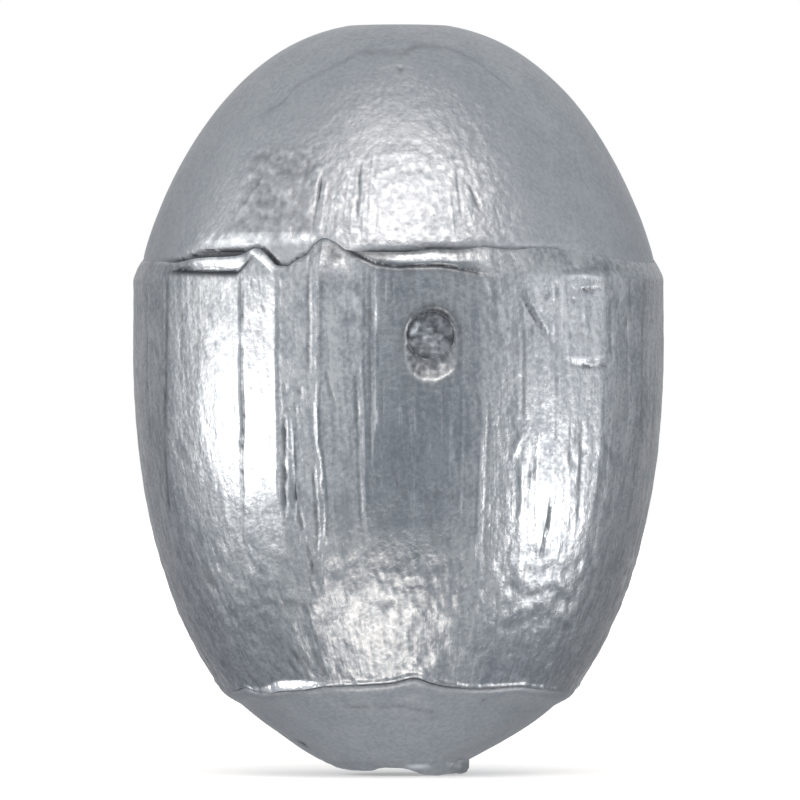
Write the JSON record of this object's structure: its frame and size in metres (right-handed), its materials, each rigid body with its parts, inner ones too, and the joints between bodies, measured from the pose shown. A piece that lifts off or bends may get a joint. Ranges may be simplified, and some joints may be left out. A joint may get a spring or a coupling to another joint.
{
  "type": "egg fishing sinker",
  "caption": "Egg-shaped lead weight that slides on a fishing line run through its lined centre bore.",
  "frame": {"origin": "middle of the line bore, on its axis, halfway between the tip of the dome and the torn rim of the tail", "axes": "+Z along the bore from tail to nose, -Y out of the side that carries the locking peg, +X to the right seen from that side"},
  "size_m": [0.015, 0.015, 0.0213],
  "materials": {
    "cast_lead": "dull cast lead",
    "drawn_lead": "burnished lead with drawn streaks",
    "peg_lead": "dull darkened lead",
    "tube_plastic": "matt black plastic"
  },
  "bodies": {
    "root": {"nose_cap": "cast_lead", "sleeve": "drawn_lead", "tail_cap": "cast_lead", "line_tube": "tube_plastic", "locking_peg": "peg_lead"}
  },
  "joints": []
}
